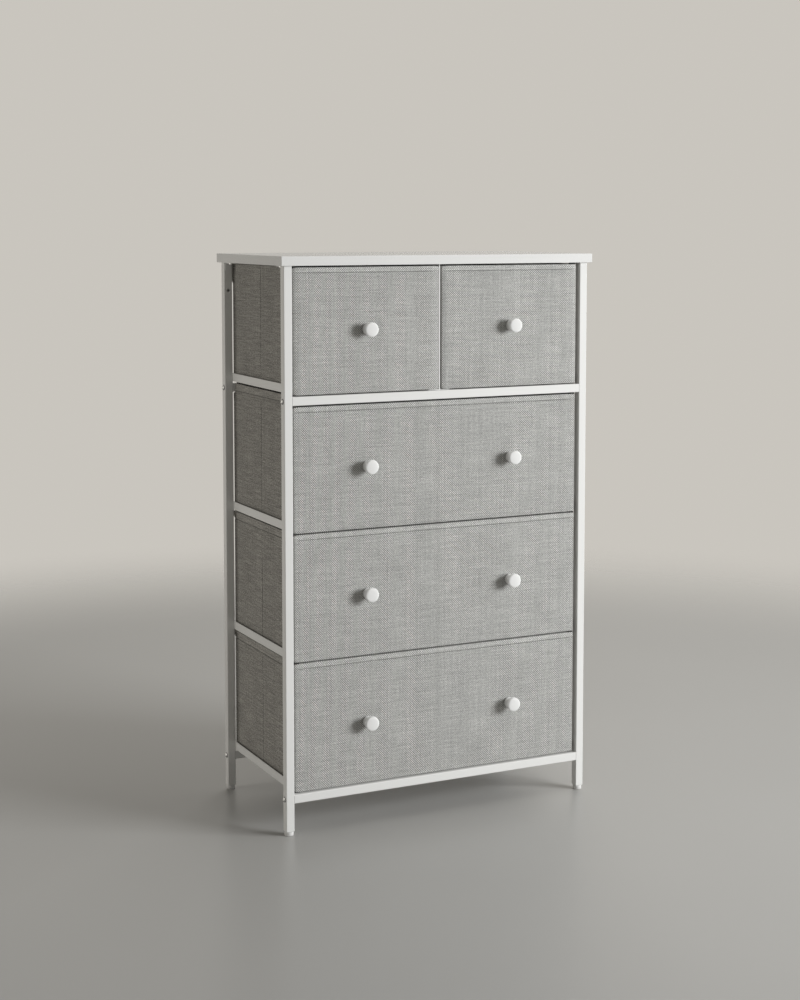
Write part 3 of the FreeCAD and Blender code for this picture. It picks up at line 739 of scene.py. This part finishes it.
def corner_tabs(drawer):
    """Tabs at the outer corners behind the face, near-black as painted shade; they close the view past the
    drawer.
    """
    low, high = drawer.low, drawer.high
    near, far = low.y + TAB_SETBACK, drawer.near - LINING_THICKNESS
    for side_name, side in SIDES:
        edge = high.x if side > 0 else low.x
        if abs(edge) < CENTRE_REACH:
            continue
        left, right = sorted((edge, edge - side * TAB_WIDTH))
        spans = [("top", high.z - TAB_OVERLAP, high.z + TAB_RISE[drawer.name])]
        if drawer.name in TAB_HANG:
            spans.append(("foot", low.z - TAB_HANG[drawer.name], low.z + TAB_OVERLAP))
        for place, bottom, top in spans:
            drawer.panel(
                f"tab_{place}_{side_name}", Vector((left, near, bottom)), Vector((right, far, top)),
                TAB_EDGE, TAB_STEP, PAINTED_SHADE_TAB,
            )


def side_panel(drawer, side_name, side):
    """A side of the sewn box: hem along the top, and a crease halfway where the box folds flat; the
    corner at the rear stands out over the corner drop. Gives its rows of stitches."""
    near, far, top = drawer.near, drawer.far, drawer.high.z
    outer, inner = drawer.wall_faces(side)
    hem, crease, corner = top - SIDE_HEM, (near + far) / 2, top - drawer.corner_drop
    in_band = hem_band(hem, HEM_STEP) if drawer.hemmed else no_band

    def shape(point, flat):
        away = side if abs(flat.x - outer) < OUTER_SKIN else -side
        in_hem = in_band(flat)
        inside = ramp(flat.y - near, 0.0, WAVE_EDGE) * ramp(far - flat.y, 0.0, WAVE_EDGE)
        inside *= ramp(flat.z - drawer.floor, 0.0, WAVE_EDGE)
        point.x += WAVE * ripple(flat.y, flat.z, drawer.seed + side) * inside * (1 - in_hem)
        point.x += away * 0.5 * HEM_SWELL * in_hem
        if drawer.hemmed:
            point.x -= away * SEAM_DEPTH * groove(flat.z - hem)
        point.x -= away * CREASE_DEPTH * groove(flat.y - crease, CREASE_WIDTH) * (1 - in_hem)
        at_rear = ramp(flat.y, far - HEM_REACH_LENGTH, far)
        point.y += HEM_REACH * ramp(flat.z, corner, corner + HEM_STEP) * at_rear
        return point

    drawer.panel(
        f"side_{side_name}", Vector((min(outer, inner), near, drawer.floor)),
        Vector((max(outer, inner), far, top)), WALL_EDGE, SIDE_STEP, BOX_FABRIC_PAINTED_SHADE,
        seams=((), (crease,), (hem,) if drawer.hemmed else ()), shape=shape, hem=in_band,
    )
    face, out = outer - side * WALL_STITCH_SEAT, Vector((side, 0, 0))
    crease_top = hem - CREASE_STITCH_STOP if drawer.hemmed else top
    crease_start = Vector((face, crease, drawer.floor + CREASE_STITCH_START))
    rows = [(crease_start, Vector((face, crease, crease_top)), out)]
    if drawer.hemmed:
        hem_start = Vector((face, near + HEM_STITCH_MARGIN, hem))
        rows.append((hem_start, Vector((face, far - HEM_STITCH_MARGIN, hem)), out))
    return rows


def back_panel(drawer):
    """The back of the sewn box, its hem standing out behind; gives its row of stitches."""
    far, top = drawer.far, drawer.high.z
    left, right = drawer.wall_faces(-1)[1], drawer.wall_faces(1)[1]
    hem = top - SIDE_HEM
    in_band = hem_band(hem, HEM_STEP)

    def shape(point, flat):
        in_hem = in_band(flat)
        inside = ramp(flat.x - left, 0.0, WAVE_EDGE) * ramp(right - flat.x, 0.0, WAVE_EDGE)
        wave = WAVE * ripple(flat.x, flat.z, drawer.seed + BACK_SEED_STEP)
        point.y += wave * inside * (1 - in_hem)
        if flat.y > far - BACK_SKIN:
            point.y += HEM_REACH * in_hem - SEAM_DEPTH * groove(flat.z - hem)
        return point

    drawer.panel(
        "back", Vector((left, far - WALL, drawer.floor)), Vector((right, far, top)), WALL_EDGE, BACK_STEP,
        BOX_FABRIC_PAINTED_SHADE, seams=((), (), (hem,)), shape=shape, hem=in_band,
    )
    face = far - WALL_STITCH_SEAT
    return [(Vector((left, face, hem)), Vector((right, face, hem)), Vector((0, 1, 0)))]


def bottom_panel(drawer):
    """The fabric bottom that slides on the runners."""
    low = Vector((drawer.wall_faces(-1)[0], drawer.near, drawer.bottom))
    high = Vector((drawer.wall_faces(1)[0], drawer.far, drawer.floor))
    drawer.panel("bottom", low, high, WALL_EDGE, BOTTOM_STEP, BOX_FABRIC_PAINTED_SHADE)


def flatten_with_slide(drawer, *pieces):
    """Gives each soft piece its own copy of its mesh."""
    for piece in pieces:
        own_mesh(piece)


def raised_lip(drawer, side_name, side):
    """Soft unstiffened edge along a side of the upper drawer, which stands up beside the rail at rest."""
    outer, inner = drawer.wall_faces(side)
    near = drawer.near + LIP_FRONT_GAP
    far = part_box("rail_rear_upper")[0].y - LIP_RAIL_GAP
    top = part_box(f"runner_small_{side_name}")[0].z - LIP_GAP
    hem = top - SIDE_HEM
    in_band = hem_band(hem, HEM_STEP)

    def shape(point, flat):
        away = side if abs(flat.x - outer) < OUTER_SKIN else -side
        point.x += away * (0.5 * HEM_SWELL * in_band(flat) - SEAM_DEPTH * groove(flat.z - hem))
        point.x += SOFT_WAVE * ripple(flat.y, flat.z, LIP_SEED)
        point.z -= LIP_DIP * (1 + ripple(flat.y, 0.0, LIP_DIP_SEED)) * ramp(flat.z, hem, top)
        return point

    lip = drawer.panel(
        f"lip_{side_name}", Vector((min(outer, inner), near, drawer.high.z - LIP_OVERLAP)),
        Vector((max(outer, inner), far, top)), WALL_EDGE, LIP_STEP, BOX_FABRIC_PAINTED_SHADE,
        seams=((), (), (hem,)), shape=shape, hem=in_band,
    )
    face = outer - side * WALL_STITCH_SEAT
    start = Vector((face, near + LIP_STITCH_MARGIN, hem))
    end = Vector((face, far - LIP_STITCH_MARGIN, hem))
    sewing = stitches(
        f"{drawer.name}_lip_stitching_{side_name}", [(start, end, Vector((side, 0, 0)))], drawer.body,
    )
    flatten_with_slide(drawer, lip, sewing)


def rear_lip(drawer):
    """The same soft edge across the back: a strip under the rear rail that turns up in front of it."""
    rail_low, rail_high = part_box("rail_rear_upper")
    left, right, level = drawer.wall_faces(-1)[1], drawer.wall_faces(1)[1], drawer.high.z
    front = rail_low.y - LIP_RAIL_GAP - WALL

    def shape(point, flat):
        to_end = ramp(abs(flat.x), REAR_LIP_LEVEL, REAR_LIP_END)
        point.z += REAR_LIP_RISE * to_end * ramp(flat.z, level, rail_high.z)
        return point

    upright = drawer.panel(
        "lip_rear", Vector((left, front, level + REAR_LIP_GAP)),
        Vector((right, front + WALL, rail_high.z)), WALL_EDGE, BACK_STEP, BOX_FABRIC_PAINTED_SHADE, shape=shape,
    )
    strip = drawer.panel(
        "lip_strip", Vector((left, front, level - LIP_OVERLAP)),
        Vector((right, drawer.far, level + STRIP_TOP)), STRIP_EDGE, BACK_STEP, BOX_FABRIC_PAINTED_SHADE,
    )
    flatten_with_slide(drawer, upright, strip)


# radius and distance from the drawer front, in millimetres
KNOB_PROFILE = (
    (0.0, 0.05), (7.4, 0.05), (8.0, 0.6), (8.9, 1.6), (9.3, 2.9), (9.1, 4.2), (8.2, 5.4), (7.0, 6.8),
    (6.5, 8.4), (6.6, 10.2), (7.8, 12.2), (10.2, 13.6), (11.9, 14.8), (12.45, 16.4), (12.5, 18.4),
    (12.4, 20.6), (11.9, 21.9), (11.0, 22.6), (9.6, 22.85), (6.5, 22.95), (3.3, 22.98), (0.0, 23.0),
)
KNOB_SMOOTHING = 4
KNOB_SEGMENTS = 56


def knob(node, body):
    """Turned mushroom knob in place of its plain solid; gives its seat on the front."""
    low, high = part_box(node)
    seat = Vector(((low.x + high.x) / 2, high.y, (low.z + high.z) / 2))
    corners = [(radius, distance, 0.0) for radius, distance in in_metres(KNOB_PROFILE)]
    profile = [(max(point.x, 0.0), point.y) for point in smoothed(corners, KNOB_SMOOTHING)]
    profile[-1] = (0.0, profile[-1][1])
    piece = lathe(
        f"{node}_turned", profile, seat, Vector((0, -1, 0)), KNOB_SEGMENTS, LACQUER, body,
    )
    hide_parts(node)
    return seat


def sewn_drawer(drawer, knob_names):
    """Every piece of one drawer, with all its stitches in one mesh."""
    seats = [knob(f"{drawer.name}_{knob_name}", drawer.body) for knob_name in knob_names]
    rows = front_cover(drawer, seats)
    corner_tabs(drawer)
    for side_name, side in SIDES:
        rows += side_panel(drawer, side_name, side)
    rows += back_panel(drawer)
    bottom_panel(drawer)
    stitches(f"{drawer.name}_stitching", rows, drawer.body)


def dress_drawers():
    """All five drawers. The sides of the middle and bottom ones have a hem, those of the others have
    none, and the upper one carries the raised soft edge."""
    for number, name in enumerate(SMALL_DRAWERS):
        seed = SMALL_SEED + SEED_STEP * number
        sewn_drawer(Drawer(name, SMALL_BULGE, False, SMALL_CORNER_DROP, seed), ("knob",))
    wide = {}
    for number, name in enumerate(WIDE_DRAWERS):
        hemmed = name != "upper"
        corner_drop = WIDE_CORNER_DROP if hemmed else 0.0
        wide[name] = Drawer(name, WIDE_BULGE, hemmed, corner_drop, WIDE_SEED + SEED_STEP * number)
        sewn_drawer(wide[name], ("knob_left", "knob_right"))
    for side_name, side in SIDES:
        raised_lip(wide["upper"], side_name, side)
    rear_lip(wide["upper"])


# ---------------------------------------------------------------------------------------------
# Frame details
# ---------------------------------------------------------------------------------------------

# radius and distance from the post's outer face or from the floor, in millimetres
BOLT_HEAD = (
    (0.0, 1.2), (1.5, 1.3), (1.5, 2.6), (2.0, 2.7), (2.9, 2.45), (3.7, 1.8), (4.1, 0.9), (4.15, 0.4),
    (0.0, 0.4),
)
BOLT_WASHER = ((0.0, 0.5), (4.6, 0.5), (4.9, 0.3), (4.95, 0.0), (0.0, 0.0))
BOLT_SEGMENTS = 24
FOOT = (
    (0.0, 8.0), (5.4, 8.0), (5.4, 7.1), (7.3, 6.9), (7.8, 6.3), (7.9, 5.4), (7.9, 1.4), (7.6, 0.6),
    (6.9, 0.05), (0.0, 0.05),
)
FOOT_SEGMENTS = 40
UPRIGHT_SETBACK = 1.6 * MM          # behind the faces of the drawers
UPRIGHT_EDGE = 0.35 * MM
UPRIGHT_STEP = 12 * MM


def dress_frame():
    """Give every carried-over node its material."""
    for part in frame["record"]["subparts"]:
        mesh = frame["nodes"][part["node"]].data
        mesh.materials.clear()
        mesh.materials.append(MATERIAL_OF_SLOT[part["material_slot"]])


def bolt_heads():
    """Domed bolt heads with a socket on the outer faces of the posts, over near-black washers that are also
    painted shade.
    """
    face = {"left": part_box("post_front_left")[0].x, "right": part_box("post_front_right")[1].x}
    for rail in [f"{end}_{level}" for end in ENDS for level in ("upper", "lower")]:
        low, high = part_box(f"rail_{rail}")
        for side_name, side in SIDES:
            seat = Vector((face[side_name], (low.y + high.y) / 2, (low.z + high.z) / 2))
            for kind, profile, material in (("head", BOLT_HEAD, STEEL), ("washer", BOLT_WASHER, WASHER_AND_PAINTED_SHADE)):
                lathe(
                    f"bolt_{kind}_{rail}_{side_name}", in_metres(profile), seat, Vector((side, 0, 0)),
                    BOLT_SEGMENTS, material, "frame",
                )
    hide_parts("rail_bolts")


def feet():
    """Moulded feet: a round pad under a narrower neck."""
    for end in ENDS:
        for side_name, _ in SIDES:
            node = f"foot_{end}_{side_name}"
            low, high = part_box(node)
            seat = Vector(((low.x + high.x) / 2, (low.y + high.y) / 2, low.z))
            pad = lathe(
                f"{node}_pad", in_metres(FOOT), seat, Vector((0, 0, 1)), FOOT_SEGMENTS, PLASTIC, "frame",
            )
            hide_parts(node)


def front_upright():
    """Flat bar between the small drawers, its front edge just behind the faces of the drawers."""
    low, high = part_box("centre_upright_front")
    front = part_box("small_left_fabric_box")[0].y + UPRIGHT_SETBACK
    bar = slab(
        "centre_upright_bar", Vector((low.x, front, low.z)), high, UPRIGHT_EDGE, UPRIGHT_STEP, METAL,
        "frame", "white_metal",
    )
    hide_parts("centre_upright_front")


# ---------------------------------------------------------------------------------------------
# Stage
# ---------------------------------------------------------------------------------------------

BACKDROP = (0.585, 0.560, 0.515)
WORLD_COLOUR = (1.0, 0.96, 0.88)
WORLD_STRENGTH = 0.17
FLOOR = (0.47, 0.467, 0.455)
FLOOR_SIZE = 7.0                    # from the middle to each edge
FLOOR_FADE_START, FLOOR_FADE_END = 1.4, 2.6

IMAGE_HEIGHT = 1000
CAMERA_PLACE = (-1.4042, -2.8589, 1.0400)
CAMERA_YAW = 25.990
CAMERA_DOWN = 4.801
FOCAL_PIXELS = 1774.3
SENSOR = 36.0
AXIS_ROW = 370                      # row of the image on the camera's axis


def floor_material():
    """Plain pale floor that fades into the background far from the dresser."""
    nodes = Nodes("pale_floor")
    place = nodes.object_place()
    nodes.tint(FLOOR, nodes.vary(nodes.noise(place, scale=2.5, detail=3.0), 0.02))
    nodes.set(Roughness=0.32, Specular_IOR_Level=0.35)
    distance = nodes.add("ShaderNodeVectorMath", operation="LENGTH")
    nodes.link(place, distance.inputs[0])
    fade = nodes.add("ShaderNodeMapRange", interpolation_type="SMOOTHSTEP")
    nodes.link(distance.outputs["Value"], fade.inputs["Value"])
    fade.inputs["From Min"].default_value = FLOOR_FADE_START
    fade.inputs["From Max"].default_value = FLOOR_FADE_END
    clear = nodes.add("ShaderNodeBsdfTransparent")
    mix = nodes.add("ShaderNodeMixShader")
    nodes.link(fade.outputs["Result"], mix.inputs[0])
    nodes.link(nodes.shader.outputs[0], mix.inputs[1])
    nodes.link(clear.outputs[0], mix.inputs[2])
    nodes.link(mix.outputs[0], nodes.tree.nodes["Material Output"].inputs["Surface"])
    return nodes.material


def make_floor():
    made = bmesh.new()
    corners = ((-1, -1), (1, -1), (1, 1), (-1, 1))
    made.faces.new([made.verts.new((x * FLOOR_SIZE, y * FLOOR_SIZE, 0)) for x, y in corners])
    mesh = bpy.data.meshes.new("floor")
    made.to_mesh(mesh)
    made.free()
    floor = bpy.data.objects.new("floor", mesh)
    bpy.context.scene.collection.objects.link(floor)
    mesh.materials.append(floor_material())


def make_world():
    """Soft grey surroundings; the camera and reflections see the backdrop's colour."""
    world = bpy.data.worlds.new("studio")
    bpy.context.scene.world = world
    world.use_nodes = True
    tree = world.node_tree
    light = tree.nodes["Background"]
    light.inputs["Color"].default_value = WORLD_COLOUR + (1,)
    light.inputs["Strength"].default_value = WORLD_STRENGTH
    backdrop = tree.nodes.new("ShaderNodeBackground")
    backdrop.inputs["Color"].default_value = BACKDROP + (1,)
    ray = tree.nodes.new("ShaderNodeLightPath")
    seen = tree.nodes.new("ShaderNodeMath")
    seen.operation = "MAXIMUM"
    tree.links.new(ray.outputs["Is Camera Ray"], seen.inputs[0])
    tree.links.new(ray.outputs["Is Glossy Ray"], seen.inputs[1])
    mix = tree.nodes.new("ShaderNodeMixShader")
    tree.links.new(seen.outputs[0], mix.inputs[0])
    tree.links.new(light.outputs[0], mix.inputs[1])
    tree.links.new(backdrop.outputs[0], mix.inputs[2])
    tree.links.new(mix.outputs[0], tree.nodes["World Output"].inputs["Surface"])


def area_light(name, place, target, size, power, colour, mirrored=True):
    """A soft box; one that is not mirrored lights surfaces but shows no glare in them."""
    data = bpy.data.lights.new(name, "AREA")
    data.shape = "RECTANGLE"
    data.size, data.size_y = size
    data.energy = power
    data.color = colour
    lamp = bpy.data.objects.new(name, data)
    lamp.location = place
    lamp.visible_glossy = mirrored
    lamp.rotation_euler = (Vector(target) - Vector(place)).to_track_quat("-Z", "Y").to_euler()
    bpy.context.scene.collection.objects.link(lamp)


def make_lamps():
    """A large key from the right of the front, with weak fills behind, on the left and above."""
    area_light(
        "key", place=(2.80, -2.87, 1.32), target=(0, -0.1, 0.55), size=(1.9, 1.55), power=176,
        colour=(0.985, 0.995, 1.0), mirrored=False,
    )
    area_light(
        "rear_fill", place=(2.1, 3.0, 1.6), target=(0, 0, 0.5), size=(1.6, 1.6), power=36,
        colour=(1.0, 0.98, 0.94), mirrored=False,
    )
    area_light(
        "left_fill", place=(-2.7, 0.9, 0.6), target=(0, 0, 0.5), size=(1.6, 1.2), power=14,
        colour=(1.0, 0.965, 0.90),
    )
    area_light(
        "overhead", place=(0.6, -0.2, 2.1), target=(0.15, -0.1, 0.9), size=(1.2, 1.2), power=7,
        colour=(1.0, 0.98, 0.94),
    )


def make_camera():
    data = bpy.data.cameras.new("camera")
    data.sensor_width = SENSOR
    data.lens = FOCAL_PIXELS * SENSOR / IMAGE_HEIGHT
    data.shift_y = (AXIS_ROW - IMAGE_HEIGHT / 2) / IMAGE_HEIGHT
    camera = bpy.data.objects.new("camera", data)
    camera.location = CAMERA_PLACE
    camera.rotation_euler = (math.radians(90 - CAMERA_DOWN), 0, math.radians(-CAMERA_YAW))
    bpy.context.scene.collection.objects.link(camera)
    bpy.context.scene.camera = camera


make_camera()
dress_frame()
dress_drawers()
bolt_heads()
feet()
front_upright()
make_floor()
make_world()
make_lamps()

scene = bpy.context.scene
scene.view_settings.view_transform = "Standard"
